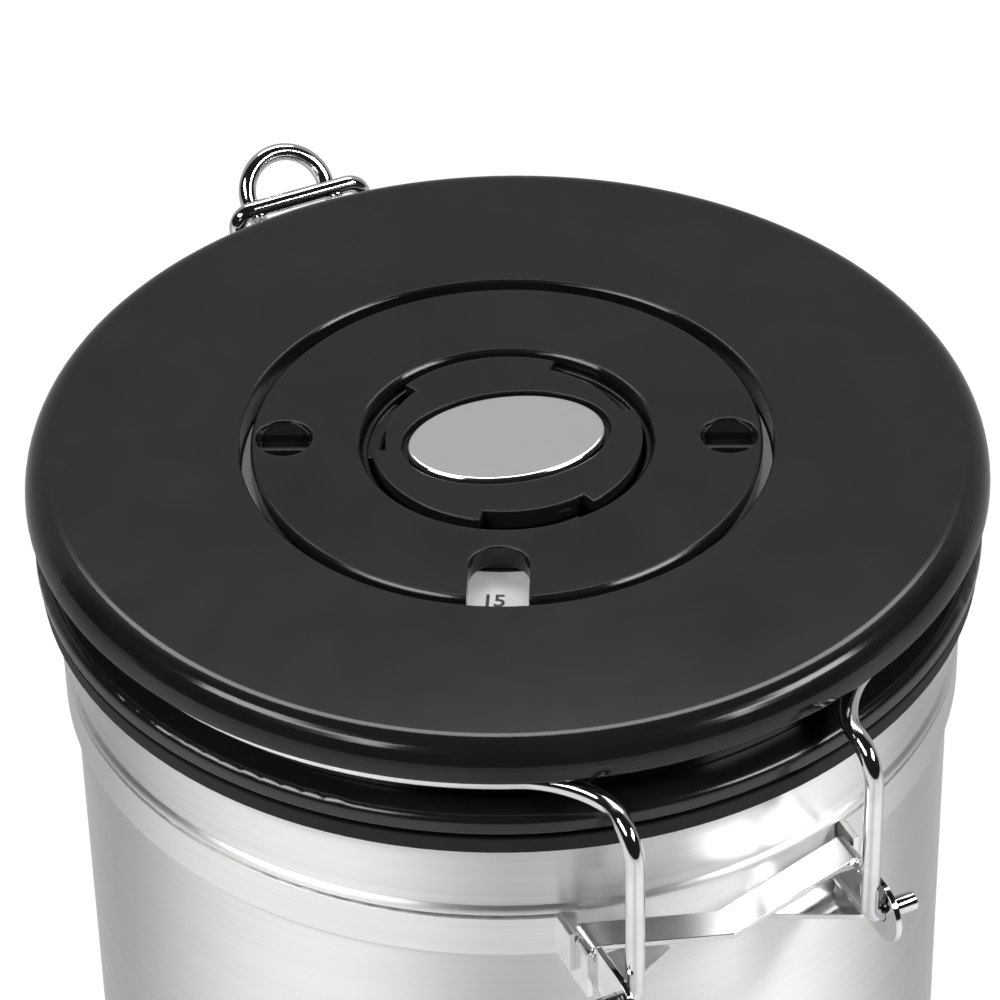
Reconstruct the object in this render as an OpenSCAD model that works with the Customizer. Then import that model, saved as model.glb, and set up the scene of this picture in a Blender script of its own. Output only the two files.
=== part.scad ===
// Coffee canister with a one-way valve, a date dial and a wire bail closure
// Origin: centre of the foot. +Z up, the latch at the front (-Y), the hinge at the rear (+Y).

/* [Body] */
// Height from the table to the flat top of the lid
total_h = 180; // [140:1:240]
// Outer diameter of the straight wall
body_d = 120; // [112:1:128]
// Thickness of the wall
wall_t = 0.6; // [0.4:0.1:1.0]
// How far the neck stands proud of the straight wall
neck_proud = 0.6; // [0.3:0.1:1.2]
// Radius of the rolled rim of the neck
rim_roll = 0.9; // [0.7:0.1:1.2]
// Radius of the bead above the neck band
bead_r = 0.9; // [0.6:0.1:1.2]
// Height of the recess under the bottom plate
foot_h = 4; // [3:0.5:6]
// Thickness of the bottom plate
base_t = 0.8; // [0.6:0.1:1.2]
// How far the pad lies inside the wall
pad_in = 4.4; // [3:0.1:8]

/* [Lid] */
// How far the rounded rim reaches past the straight wall
rim_over = 4.3; // [3.5:0.1:6]
// Width of the rounded rim
rim_w = 3.7; // [3:0.1:8]
// Height of the wire groove under the rim
groove_h = 6.7; // [5.6:0.1:7.2]
// Height of the rounded rim
rim_h = 4.8; // [4:0.1:5]
// Thickness of the moulded walls of the lid
lid_t = 1.8; // [1.4:0.1:2.2]
// Depth of the wire groove behind the rim
groove_in = 5.3; // [4.9:0.1:5.6]
// How far the lower collar lies inside the rim
collar_in = 0.7; // [0.4:0.1:1.5]
// Height of the lower collar
collar_h = 2.8; // [2:0.1:3]
// How far the silicone gasket lies inside the rim
gasket_in = 1.1; // [0.8:0.1:2]
// Height of the gasket
gasket_h = 3.2; // [2.8:0.1:4.5]
// Gap between the plug and the rolled rim of the neck, which lets the lid swing out
plug_gap = 4.9; // [4.9:0.1:8]
// Depth of the plug below the gasket
plug_h = 5; // [4:0.1:5.5]
// How far the liner's screws lie inside the plug
screw_in = 9.9; // [8:0.1:12]

/* [Date dial] */
// Radius of the recess in the lid
recess_r = 35.6; // [35:0.1:38]
// Depth of the recess
recess_h = 4.6; // [4.2:0.1:5.2]
// Gap round the dial
dial_gap = 1.5; // [1:0.1:2.5]
// Thickness of the dial
dial_t = 3; // [2.4:0.1:3.4]
// Width of the date window
window_w = 8; // [6:0.5:10]
// How far the round end of the window is centred inside the dial's edge
window_in = 6.7; // [5:0.1:8]
// How far the window is turned from the middle between the finger pockets
window_skew = -1.3; // [-10:0.1:10]
// Radius of the finger pockets
pocket_r = 3.85; // [3:0.05:4]
// How far the finger pockets are centred inside the dial's edge
pocket_in = 4.5; // [4:0.1:6]
// How far the fin lies off the middle of its pocket
fin_off = 2.2; // [0:0.1:2.6]
// Depth of the finger pockets
pocket_h = 2.2; // [1.5:0.1:2.4]
// Direction of the window, from +X towards +Y
dial_turn = 64; // [0:0.1:359]

/* [Valve] */
// Outer radius of the valve housing's tube
seat_r = 19.3; // [18.5:0.05:19.6]
// Gap between the cap's lobes and the tube
lobe_gap = 0.5; // [0.3:0.1:0.8]
// How far the cap is cut back between its lobes
lobe_h = 2; // [1.6:0.1:3]
// Angle that each lobe covers
lobe_deg = 70; // [60:1:80]
// Direction of the first lobe, from +X towards +Y
cap_turn = 18.5; // [0:0.5:60]
// Long half axis of the oval badge
badge_a = 13.3; // [11:0.1:13.5]
// Short half axis of the oval badge
badge_b = 9; // [7:0.1:9.5]
// Direction of the badge's long axis, from +X towards +Y
badge_turn = 168; // [0:1:180]
// Width of the groove round the badge
badge_gap = 0.9; // [0.5:0.1:1]
// Depth of the valve housing's floor below the lid's top
valve_depth = 14; // [13:0.1:15]
// Radius of the silicone flap
flap_r = 10.5; // [9.8:0.1:11]
// How far the flap lifts
flap_lift = 0.8; // [0.4:0.1:1]

/* [Wire] */
// Diameter of the bail and latch wire
wire_d = 2.5; // [2.2:0.1:2.8]
// Depth of the bail in the groove, from the lid's top to the wire's centre
bail_depth = 7.3; // [7.1:0.1:7.6]
// Distance of the bail from the groove's wall, at the wire's centre
bail_out = 2; // [1.8:0.1:2.2]
// Distance of the bail's legs from the middle
leg_x = 16.7; // [15.5:0.1:16.9]
// Distance of the hinge axis past the rim
hinge_out = 7.3; // [7:0.1:8.5]
// Depth of the hinge axis below the lid's top
hinge_depth = 34; // [32:0.1:34.5]
// Half width of the tongue at the front
tongue_x = 6; // [5:0.1:6.2]

/* [Neck band and hinge] */
// Height of the neck band
band_h = 6.2; // [5:0.1:7]
// Thickness of the band
band_t = 0.9; // [0.7:0.1:1]
// Depth of the band's top edge below the lid's top
band_depth = 30.6; // [29.8:0.1:31]
// Thickness of the bracket sheets
sheet_t = 0.8; // [0.6:0.1:0.9]
// Half width of the hinge bridge, to its outer faces
bridge_x = 20; // [19.9:0.1:21]
// Height of the bridge's ears
bridge_h = 8.3; // [7:0.1:9]
// Width of the bridge's strip
strip_w = 4.7; // [4:0.1:5]
// How far the strip's bend lies to the side of the middle
strip_apex = 2; // [-3:0.1:3]
// How far the middle of the strip bends out
strip_bow = 5.6; // [3:0.1:6]
// Radius of the rounded ends of the hinge lugs
lug_r = 4.2; // [3.5:0.1:4.4]

/* [Latch] */
// Distance of the lever's pivot past the rim
pivot_out = 3.7; // [3.5:0.1:4.5]
// Depth of the lever's pivot below the lid's top
pivot_depth = 33.3; // [33:0.1:35]
// Distance from the lever's pivot down to the loop's pivot
link_drop = 9; // [8:0.1:10]
// How far the loop's pivot lies inside the lever's pivot
link_inset = 1.2; // [0.8:0.1:1.6]
// Distance of the crossbar past the rim
bar_out = 5.7; // [5.5:0.1:6]
// Depth of the crossbar below the lid's top
bar_depth = 4.5; // [4.2:0.1:4.6]
// Half width of the loop, to the wire's centre
loop_x = 9.75; // [9.6:0.05:10.5]
// Half width of the lever between its ears' outer faces
lever_x = 7.4; // [7:0.1:7.5]
// Length of the lever's handle below its pivot
handle_h = 44; // [34:1:60]
// Half width of the handle
handle_x = 11; // [9:0.5:12]

/* [Hidden] */
$fn = 96;

// Clearances
running_gap = 0.08;
seat_gap = 0.05;
sheet_gap = 0.2;
lid_gap = 0.2;

// Body
body_r = body_d / 2;
neck_r = body_r + neck_proud;
pad_r = body_r - wall_t - pad_in;

// Lid, from the rim inwards
rim_r = body_r + rim_over;
flat_r = rim_r - rim_w;
groove_r = rim_r - groove_in;
collar_r = rim_r - collar_in;
gasket_r = rim_r - gasket_in;
plug_r = neck_r - 2 * rim_roll - plug_gap;
screw_circle_r = plug_r - screw_in;
bail_r = groove_r + bail_out;
hinge_y = rim_r + hinge_out;
pivot_y = rim_r + pivot_out;
bar_y = rim_r + bar_out;

// Dial and valve
dial_r = recess_r - dial_gap;
window_in_r = dial_r - window_in;
pocket_at_r = dial_r - pocket_in;
dial_hole_r = seat_r + 0.25;
snap_r = dial_hole_r + 0.7;
washer_in_r = dial_hole_r + 0.85;
washer_out_r = washer_in_r + 3;
washer_t = 0.4;
card_in_r = washer_out_r + 0.2;
tube_in_r = seat_r - 0.7;
cap_lobe_r = tube_in_r - lobe_gap;
cap_r = cap_lobe_r - lobe_h;
tab_deg = 36;
ledge_deg = 40;
filter_r = 12;
filter_t = 1.2;
screw_r = 1.2;
vent_ring_r = 6.5;
vent_r = 1.5;
stem_r = 1.95;

// Heights
wire_r = wire_d / 2;
pin_r = wire_r + 0.04;
top_z = total_h;
collar_top = top_z - rim_h - groove_h;
gasket_top = collar_top - collar_h - seat_gap;
gasket_z = gasket_top - gasket_h;
rim_top = gasket_z - lid_gap;
band_top = top_z - band_depth;
band_z = band_top - band_h;
band_in_r = body_r + 0.25;
band_out_r = band_in_r + band_t;
plug_z = gasket_z - plug_h;
hinge_z = top_z - hinge_depth;
bail_z = top_z - bail_depth;
pivot_z = top_z - pivot_depth;
link_y = pivot_y - link_inset;
link_z = pivot_z - link_drop;
bar_z = top_z - bar_depth;

// Colours
steel = [0.78, 0.78, 0.77];
chrome = [0.86, 0.87, 0.88];
gloss_black = [0.04, 0.04, 0.045];
soft_grey = [0.16, 0.16, 0.16];
card_white = [0.93, 0.93, 0.91];

// Ring with a rectangular section, from one height to another
module ring(r_in, r_out, z_low, z_high) {
    rotate_extrude()
        translate([r_in, z_low]) square([r_out - r_in, z_high - z_low]);
}

// Flat sector of a ring, centred on the direction turn
module sector(r_in, r_out, deg, turn, z_low, z_high) {
    rotate([0, 0, turn - deg / 2])
        rotate_extrude(angle = deg)
            translate([r_in, z_low]) square([r_out - r_in, z_high - z_low]);
}

// Straight round rod along X
module rod_x(x_from, x_to, r) {
    translate([x_from, 0, 0]) rotate([0, 90, 0]) cylinder(r = r, h = x_to - x_from);
}

// Quarter bend of a round wire in the XZ plane, round the origin
module wire_bend(bend, r, from_deg) {
    rotate([90, 0, 0])
        rotate([0, 0, from_deg])
            rotate_extrude(angle = 90) translate([bend, 0]) circle(r = r, $fn = 48);
}

// Sheet bent about an axis along Y: a part of a thin tube
module sheet_roll(r_out, t, y_len, from_deg, deg) {
    translate([0, y_len, 0]) rotate([90, 0, 0])
        rotate([0, 0, from_deg])
            rotate_extrude(angle = deg) translate([r_out - t, 0]) square([t, y_len]);
}

// Points of an oval
function oval(a, b, count = 72) =
    [for (i = [0:count - 1]) [a * cos(i * 360 / count), b * sin(i * 360 / count)]];

// Vector helpers for the bent bail wire
function unit(v) = v / norm(v);
function side_of(n, t) = unit(n - (n * t) * t);
function tangent(p, i) = unit(p[min(i + 1, len(p) - 1)] - p[max(i - 1, 0)]);
function bezier(a, b, c, d, t) =
    pow(1 - t, 3) * a + 3 * t * pow(1 - t, 2) * b + 3 * t * t * (1 - t) * c + pow(t, 3) * d;

// Round wire swept along a list of points
module swept_wire(p, r, start_side, sides = 12) {
    count = len(p);
    normals = [for (i = 0, n = side_of(start_side, tangent(p, 0)); i < count;
        i = i + 1, n = side_of(n, tangent(p, min(i, count - 1)))) n];
    skin = [for (i = [0:count - 1]) for (k = [0:sides - 1])
        let (t = tangent(p, i), n = normals[i], b = cross(t, n), a = k * 360 / sides)
            p[i] + r * (cos(a) * n + sin(a) * b)];
    walls = [for (i = [0:count - 2]) for (k = [0:sides - 1]) for (half = [0, 1])
        let (k2 = (k + 1) % sides, a = i * sides + k, b = i * sides + k2,
            c = (i + 1) * sides + k, d = (i + 1) * sides + k2)
            half == 0 ? [a, c, b] : [b, c, d]];
    first_end = [for (k = [0:sides - 1]) k];
    last_end = [for (k = [0:sides - 1]) count * sides - 1 - k];
    polyhedron(points = skin, faces = concat(walls, [first_end, last_end]), convexity = 8);
}

// Brushed steel wall with its rolled rim, its neck and the bead above the band
module body_shell() {
    bead_z = band_top + bead_r + 0.1;
    color(steel) {
        rotate_extrude() polygon([
            [body_r - wall_t, 1], [body_r, 1], [body_r, band_z - 1], [body_r, bead_z - bead_r],
            [neck_r, bead_z], [neck_r, rim_top - rim_roll],
            [neck_r - wall_t, rim_top - rim_roll], [neck_r - wall_t, bead_z],
            [body_r - wall_t, bead_z - bead_r - 0.3]]);
        rotate_extrude() translate([neck_r - rim_roll, rim_top - rim_roll]) circle(r = rim_roll, $fn = 32);
        rotate_extrude() translate([neck_r - 0.3, bead_z]) circle(r = bead_r, $fn = 32);
    }
}

// Steel bottom, set in from the foot of the wall
module base_plate() {
    r = body_r - wall_t - seat_gap;
    color(steel) {
        translate([0, 0, foot_h]) cylinder(r = r, h = base_t);
        ring(r - base_t, r, 1.2, foot_h);
    }
}

// Non-slip pad under the bottom plate
module base_pad() {
    color(soft_grey) rotate_extrude()
        polygon([[0, 0], [pad_r - 1, 0], [pad_r, 1], [pad_r, foot_h], [0, foot_h]]);
}

// Flat strap round the neck, with its ends turned out beside the bridge
module neck_band() {
    flange_x = bridge_x + sheet_t;
    flange_y = sqrt(band_in_r * band_in_r - bridge_x * bridge_x);
    color(steel) {
        difference() {
            ring(band_in_r, band_out_r, band_z, band_top);
            translate([-flange_x, 0, band_z - 1]) cube([2 * flange_x, body_r * 1.2, band_h + 2]);
        }
        for (s = [-1, 1])
            translate([s > 0 ? bridge_x : -flange_x, flange_y, band_z])
                cube([sheet_t, 4.4, band_h]);
    }
}

// Bent strip over the hinge, with an ear at each end
module hinge_bridge() {
    roll = 1.8;
    strip_y = body_r - 0.1;
    ear_y = sqrt(band_out_r * band_out_r - bridge_x * bridge_x) + 0.1;
    flat_x = bridge_x - roll;
    color(chrome) {
        translate([0, 0, band_top - sheet_t]) linear_extrude(sheet_t) polygon([
            [-flat_x, strip_y], [strip_apex, strip_y + strip_bow], [flat_x, strip_y],
            [flat_x, strip_y + strip_w], [strip_apex, strip_y + strip_bow + strip_w],
            [-flat_x, strip_y + strip_w]]);
        for (s = [-1, 1]) {
            translate([s * flat_x, strip_y, band_top - roll])
                sheet_roll(roll, sheet_t, strip_w, s > 0 ? 0 : 90, 90);
            translate([s > 0 ? bridge_x - sheet_t : -bridge_x, ear_y, band_top - bridge_h])
                cube([sheet_t, strip_y + strip_w - ear_y, bridge_h - roll]);
        }
    }
}

// Hinge lug: a radial ear with the bail's bearing and a slanted flange under the bridge
module hinge_lug(s) {
    outer_x = bridge_x - sheet_t;
    inner_x = outer_x - sheet_t;
    roll = 1.6;
    low_z = hinge_z - lug_r;
    under_z = band_top - sheet_t - 0.9;
    clear_y = body_r + strip_w + 0.9;
    back_y = sqrt(band_out_r * band_out_r - inner_x * inner_x) + 1.4;
    flange_in = 7.1;
    flange_x = outer_x - roll;
    flange_y = body_r + 7.8;
    tip_y = hinge_y - 4;
    color(chrome) mirror([s < 0 ? 1 : 0, 0, 0]) difference() {
        union() {
            translate([inner_x, 0, 0]) rotate([90, 0, 90]) linear_extrude(sheet_t)
                polygon([[back_y, low_z + roll], [hinge_y, low_z + roll], [hinge_y, hinge_z + lug_r],
                    [clear_y, hinge_z + lug_r], [clear_y, under_z], [back_y, under_z]]);
            translate([inner_x, hinge_y, hinge_z]) rotate([0, 90, 0]) cylinder(r = lug_r, h = sheet_t);
            translate([flange_x, back_y, low_z + roll])
                sheet_roll(roll, sheet_t, flange_y - back_y, 270, 90);
            translate([0, 0, low_z]) linear_extrude(sheet_t) polygon([
                [flange_x, back_y], [flange_x, flange_y], [flange_in, body_r + 2.5],
                [flange_in, body_r + 0.4], [flange_in + 4, body_r - 0.2]]);
            translate([inner_x, tip_y, low_z])
                cube([sheet_t, hinge_y - tip_y, roll]);
        }
        translate([inner_x - 1, hinge_y, hinge_z]) rod_x(0, sheet_t + 2, pin_r + running_gap);
    }
}
module hinge_lug_left() { hinge_lug(-1); }
module hinge_lug_right() { hinge_lug(1); }

// Small bracket at the front that carries the lever's pin
module latch_bracket() {
    ear_out = lever_x - sheet_t - sheet_gap;
    ear_r = 2.7;
    back_y = band_out_r + 0.15;
    color(chrome) difference() {
        union() {
            translate([-ear_out, -back_y - sheet_t, pivot_z - 5]) cube([2 * ear_out, sheet_t, 9]);
            for (x = [-ear_out, ear_out - sheet_t]) translate([x, 0, 0]) {
                translate([0, -pivot_y, pivot_z - ear_r]) cube([sheet_t, pivot_y - back_y, 2 * ear_r]);
                translate([0, -pivot_y, pivot_z]) rotate([0, 90, 0]) cylinder(r = ear_r, h = sheet_t);
            }
        }
        translate([0, -pivot_y, pivot_z]) rod_x(-ear_out - 1, ear_out + 1, wire_r + running_gap / 2);
    }
}

// Pin of the lever, with a flat head at each end
module latch_pin() {
    head_t = 0.7;
    head_x = lever_x + seat_gap;
    color(chrome) translate([0, -pivot_y, pivot_z]) {
        rod_x(-head_x, head_x, wire_r);
        rod_x(head_x, head_x + head_t, 2);
        rod_x(-head_x - head_t, -head_x, 2);
    }
}

// Black top of the lid: rounded rim, wire groove wall, dial recess and screw bosses
module lid_shell() {
    lip_z = top_z - rim_h - 0.5;
    floor_z = top_z - recess_h;
    boss_z = plug_z + lid_t + seat_gap;
    color(gloss_black) difference() {
        union() {
            rotate_extrude() polygon(concat(
                [[recess_r, top_z - 0.3], [recess_r + 0.3, top_z]],
                [for (a = [0:9:90]) [flat_r + rim_w * sin(a), top_z - rim_h + rim_h * cos(a)]],
                [[rim_r - 0.2, lip_z + 0.1], [rim_r - 0.6, lip_z], [groove_r + 0.3, lip_z],
                    [groove_r, lip_z - 0.3], [groove_r, collar_top + seat_gap],
                    [groove_r - lid_t, collar_top + seat_gap], [groove_r - lid_t, top_z - lid_t - 0.6],
                    [recess_r + lid_t, top_z - lid_t - 0.6], [recess_r + lid_t, floor_z - lid_t],
                    [seat_r + 0.2, floor_z - lid_t], [seat_r + 0.2, floor_z], [recess_r, floor_z]]));
            for (a = [30, 150, 270]) rotate([0, 0, a])
                translate([screw_circle_r, 0, boss_z]) cylinder(r = screw_r + 2, h = top_z - lid_t - boss_z);
        }
        for (a = [30, 150, 270]) rotate([0, 0, a])
            translate([screw_circle_r, 0, boss_z - 1]) cylinder(r = screw_r + 0.1, h = 12);
    }
}

// Lower black collar under the wire groove
module lid_collar() {
    edge = 1.2;
    color(gloss_black) rotate_extrude() {
        translate([plug_r + 0.2, collar_top - collar_h])
            square([collar_r - edge - plug_r - 0.2, collar_h]);
        translate([collar_r - edge - 0.2, collar_top - collar_h + 0.4])
            square([edge + 0.2, collar_h - edge - 0.4]);
        translate([collar_r - edge, collar_top - edge]) circle(r = edge, $fn = 32);
    }
}

// Silicone gasket that rests on the neck's rim
module lid_gasket() {
    color(soft_grey) rotate_extrude() polygon([
        [plug_r + 0.1, gasket_top], [gasket_r - 2.2, gasket_top], [gasket_r - 1.6, gasket_top - 0.75],
        [gasket_r, gasket_top - 0.8], [gasket_r, gasket_z + 0.2], [gasket_r - 0.3, gasket_z],
        [plug_r + 0.1, gasket_z]]);
}

// Inner plug of the lid, with a grille under the valve
module lid_liner() {
    hook_r = groove_r - lid_t - 0.2;
    color(soft_grey) difference() {
        rotate_extrude() polygon([
            [0, plug_z], [plug_r - 1.5, plug_z], [plug_r, plug_z + 1.5], [plug_r, collar_top + seat_gap],
            [hook_r, collar_top + seat_gap], [hook_r, collar_top + 1.1], [plug_r - lid_t, collar_top + 1.1],
            [plug_r - lid_t, plug_z + lid_t], [filter_r + 0.8, plug_z + lid_t],
            [filter_r + 0.8, plug_z + lid_t + 2], [filter_r + 0.2, plug_z + lid_t + 2],
            [filter_r + 0.2, plug_z + lid_t], [0, plug_z + lid_t]]);
        for (a = [30, 150, 270]) rotate([0, 0, a])
            translate([screw_circle_r, 0, plug_z - 1]) cylinder(r = screw_r + 0.2, h = lid_t + 2);
        translate([0, 0, plug_z - 1]) cylinder(r = vent_r, h = lid_t + 2);
        for (a = [0:60:300]) rotate([0, 0, a])
            translate([vent_ring_r, 0, plug_z - 1]) cylinder(r = vent_r, h = lid_t + 2);
    }
}

// Screws that hold the liner to the lid
module liner_screws() {
    color(steel) for (a = [30, 150, 270]) rotate([0, 0, a]) translate([screw_circle_r, 0, plug_z]) {
        translate([0, 0, -1.4]) cylinder(r = 2 * screw_r + 0.2, h = 1.4);
        cylinder(r = screw_r, h = 10);
    }
}

// White printed card under the dial
module date_card() {
    color(card_white) ring(card_in_r, recess_r - 0.2, top_z - recess_h, top_z - recess_h + 0.3);
}

// Friction washer that the dial turns on
module dial_washer() {
    color(soft_grey) ring(washer_in_r, washer_out_r, top_z - recess_h, top_z - recess_h + washer_t);
}

// Black dial with its date window and two finger pockets
module date_dial() {
    dial_top = top_z - 0.25;
    low = dial_top - dial_t;
    fin_t = 0.7;
    edge = 0.4;
    ramp_in = 1.9;
    snap_h = 1.4;
    color(gloss_black) rotate([0, 0, dial_turn]) {
        difference() {
            union() {
                rotate_extrude() polygon([[snap_r, low], [dial_r, low], [dial_r, dial_top - edge],
                    [dial_r - edge, dial_top], [dial_hole_r + edge, dial_top],
                    [dial_hole_r, dial_top - edge], [dial_hole_r, low + snap_h], [snap_r, low + snap_h]]);
                ring(washer_in_r + 0.2, washer_out_r - 0.2, top_z - recess_h + washer_t + seat_gap,
                    low + 0.2);
            }
            rotate([0, 0, window_skew]) {
                translate([window_in_r, 0, low - 2]) cylinder(r = window_w / 2, h = dial_t + 4);
                translate([window_in_r, -window_w / 2, low - 2]) cube([dial_r, window_w, dial_t + 4]);
            }
            for (s = [-1, 1]) translate([0, s * pocket_at_r, dial_top - pocket_h])
                cylinder(r = pocket_r, h = pocket_h + 1);
        }
        for (s = [-1, 1]) translate([0, s * pocket_at_r, dial_top]) intersection() {
            translate([0, 0, -pocket_h - 0.2]) cylinder(r = pocket_r + 0.1, h = pocket_h + 0.2);
            union() {
                translate([fin_off - fin_t / 2, -pocket_r, -pocket_h - 0.2])
                    cube([fin_t, 2 * pocket_r, pocket_h + 0.1]);
                translate([0, pocket_r + 0.1, 0]) rotate([90, 0, 0]) linear_extrude(2 * pocket_r + 0.2)
                    polygon([[-pocket_r - 0.2, -pocket_h - 0.2], [-pocket_r - 0.2, -0.15],
                        [ramp_in - pocket_r, -0.9], [ramp_in - pocket_r, -pocket_h - 0.2]]);
            }
        }
    }
}

// Housing of the valve: tube, floor with vents, ledges for the cap
module valve_seat() {
    floor_z = top_z - valve_depth;
    under_z = top_z - recess_h - lid_t - seat_gap;
    snap_z = top_z - dial_t;
    color(gloss_black) difference() {
        union() {
            ring(tube_in_r, seat_r, floor_z, top_z - 2);
            translate([0, 0, floor_z]) cylinder(r = seat_r, h = 1.5);
            ring(seat_r - 0.3, seat_r + 0.6, snap_z, snap_z + 0.8);
            ring(seat_r - 0.3, seat_r + 4.5, under_z - 1.5, under_z);
            for (i = [0:2])
                sector(cap_r + 0.8, tube_in_r + 0.3, ledge_deg, cap_turn + 60 + i * 120,
                    top_z - 3.6, top_z - 2.6);
        }
        for (a = [0:60:300]) rotate([0, 0, a])
            translate([vent_ring_r, 0, floor_z - 1]) cylinder(r = vent_r, h = 4);
        translate([0, 0, floor_z - 1]) cylinder(r = stem_r + running_gap, h = 4);
    }
}

// One-way silicone flap with its stem and barb
module valve_disc() {
    floor_z = top_z - valve_depth;
    barb_r = stem_r + 0.65;
    color(soft_grey) rotate_extrude() polygon([
        [0, floor_z - 3.2], [stem_r - 0.75, floor_z - 3.2], [barb_r, floor_z - flap_lift - 0.5],
        [barb_r, floor_z - flap_lift - 0.1], [stem_r, floor_z - flap_lift - 0.1], [stem_r, floor_z + 1.55],
        [flap_r, floor_z + 1.55], [flap_r, floor_z + 1.9], [2.5, floor_z + 2.6], [0, floor_z + 2.6]]);
}

// Filter felt on the grille of the liner
module valve_filter() {
    color(card_white) translate([0, 0, plug_z + lid_t]) cylinder(r = filter_r, h = filter_t);
}

// Twist cap with three lobes, an oval pocket and three tabs under the seat's ledges
module valve_cap() {
    cap_top = top_z - 0.3;
    cap_t = 2.7;
    lobe_t = 1.7;
    skirt_r = 13;
    color(gloss_black) difference() {
        union() {
            translate([0, 0, cap_top - cap_t]) cylinder(r = cap_r, h = cap_t);
            for (i = [0:2]) {
                sector(cap_r - 1, cap_lobe_r, lobe_deg, cap_turn + i * 120, cap_top - lobe_t, cap_top);
                sector(skirt_r - 1, cap_lobe_r - 0.3, tab_deg, cap_turn + 60 + i * 120,
                    cap_top - 5, cap_top - 3.8);
            }
            ring(skirt_r - 1.5, skirt_r, cap_top - 8, cap_top - cap_t + 0.2);
        }
        rotate([0, 0, badge_turn]) translate([0, 0, cap_top - 1.1])
            linear_extrude(2) polygon(oval(badge_a + badge_gap, badge_b + badge_gap));
    }
}

// Bare satin badge
module valve_badge() {
    color(steel) rotate([0, 0, badge_turn]) {
        translate([0, 0, top_z - 1.2]) linear_extrude(0.7) polygon(oval(badge_a, badge_b));
        translate([0, 0, top_z - 0.5]) linear_extrude(0.3) polygon(oval(badge_a - 0.25, badge_b - 0.25));
    }
}

// Adhesive pad under the badge
module badge_tape() {
    color(card_white) rotate([0, 0, badge_turn]) translate([0, 0, top_z - 1.4])
        linear_extrude(0.2) polygon(oval(badge_a - 1.5, badge_b - 1.5));
}

// Half of the bail's route, from the hinge pin round the lid to the middle of the tongue
bend = 1.9;
top_bend = 5;
join_deg = 24.2;
front_deg = 9.9;
tongue_slope = 50;
tongue_bend = 2.5;
tongue_leg_y = 72.6;
join_point = [bail_r * sin(join_deg), bail_r * cos(join_deg), bail_z];
join_run = [cos(join_deg), -sin(join_deg), 0];
front_point = [bail_r * sin(front_deg), -bail_r * cos(front_deg), bail_z];
front_run = [-cos(front_deg), -sin(front_deg), 0];
leg_top = [leg_x, hinge_y - top_bend, bail_z];
tongue_start = [tongue_x, -bail_r - 4.5, bail_z];
arch_y = tongue_leg_y + tongue_bend * sin(tongue_slope);
arch_z = bail_z + tongue_bend * (1 - cos(tongue_slope));
half_bail = concat(
    [for (a = [0:15:90]) [leg_x + bend - bend * sin(a), hinge_y, hinge_z + bend - bend * cos(a)]],
    [for (a = [0:10:80])
        [leg_x, hinge_y - top_bend + top_bend * cos(a), bail_z - top_bend + top_bend * sin(a)]],
    [for (i = [0:7])
        bezier(leg_top, leg_top + [0, -4.1, 0], join_point - 4.5 * join_run, join_point, i / 8)],
    [for (a = [join_deg:5:180 - front_deg - 3]) [bail_r * sin(a), bail_r * cos(a), bail_z]],
    [for (i = [0:7])
        bezier(front_point, front_point + 2.8 * front_run, tongue_start + [0, 3, 0], tongue_start, i / 8)],
    [for (i = [0:2]) [tongue_x, tongue_start[1] + (-tongue_leg_y - tongue_start[1]) * i / 3, bail_z]],
    [for (a = [0:12.5:37.5])
        [tongue_x, -tongue_leg_y - tongue_bend * sin(a), bail_z + tongue_bend * (1 - cos(a))]],
    [for (a = [0:11.25:90]) [tongue_x * cos(a), -arch_y - tongue_x * sin(a) * cos(tongue_slope),
        arch_z + tongue_x * sin(a) * sin(tongue_slope)]]);
full_bail = concat(half_bail,
    [for (i = [len(half_bail) - 2:-1:0]) [-half_bail[i][0], half_bail[i][1], half_bail[i][2]]]);

// Wire bail: hinge pins, legs, the run in the lid's groove and the tongue
module bail_wire() {
    pin_from = leg_x + bend - 0.2;
    pin_to = bridge_x + 3.3;
    color(chrome) {
        swept_wire(full_bail, wire_r, [0, 1, 0]);
        translate([0, hinge_y, hinge_z]) {
            rod_x(pin_from, pin_to, pin_r);
            rod_x(-pin_to, -pin_from, pin_r);
        }
    }
}

// Lever of the latch: two ears, a handle plate and a curled lip
module latch_lever() {
    plate_y = 3;
    plate_top = 3.6;
    ear_h = 22;
    ear_r = 3.2;
    lip_r = 6;
    lip_deg = 55;
    lip_mid = [-plate_y - sheet_t - lip_r, -handle_h + lip_r];
    handle_from = 12.5;
    color(chrome) translate([0, -pivot_y, pivot_z]) difference() {
        union() {
            for (x = [-lever_x, lever_x - sheet_t]) translate([x, 0, 0]) {
                rotate([90, 0, 90]) linear_extrude(sheet_t) polygon([
                    [-plate_y - sheet_t, -plate_top], [-ear_r, 0], [ear_r, 0], [link_inset + 3, -link_drop],
                    [link_inset + 1.5, -link_drop - 2.6], [-plate_y, -ear_h], [-plate_y - sheet_t, -ear_h]]);
                rotate([0, 90, 0]) cylinder(r = ear_r, h = sheet_t);
                translate([0, link_inset, -link_drop]) rotate([0, 90, 0]) cylinder(r = 3, h = sheet_t);
            }
            translate([-lever_x, -plate_y - sheet_t, -ear_h])
                cube([2 * lever_x, sheet_t, ear_h - plate_top]);
            translate([-handle_x, 0, 0]) rotate([90, 0, 90]) linear_extrude(2 * handle_x) polygon(concat(
                [[-plate_y, -plate_top - handle_from], [-plate_y - sheet_t, -plate_top - handle_from]],
                [for (a = [0:5:lip_deg]) lip_mid + lip_r * [cos(a), -sin(a)]],
                [for (a = [lip_deg:-5:0]) lip_mid + (lip_r + sheet_t) * [cos(a), -sin(a)]]));
        }
        rod_x(-lever_x - 1, lever_x + 1, wire_r + running_gap);
        translate([0, link_inset, -link_drop]) rod_x(-lever_x - 1, lever_x + 1, wire_r + running_gap);
    }
}

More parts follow.
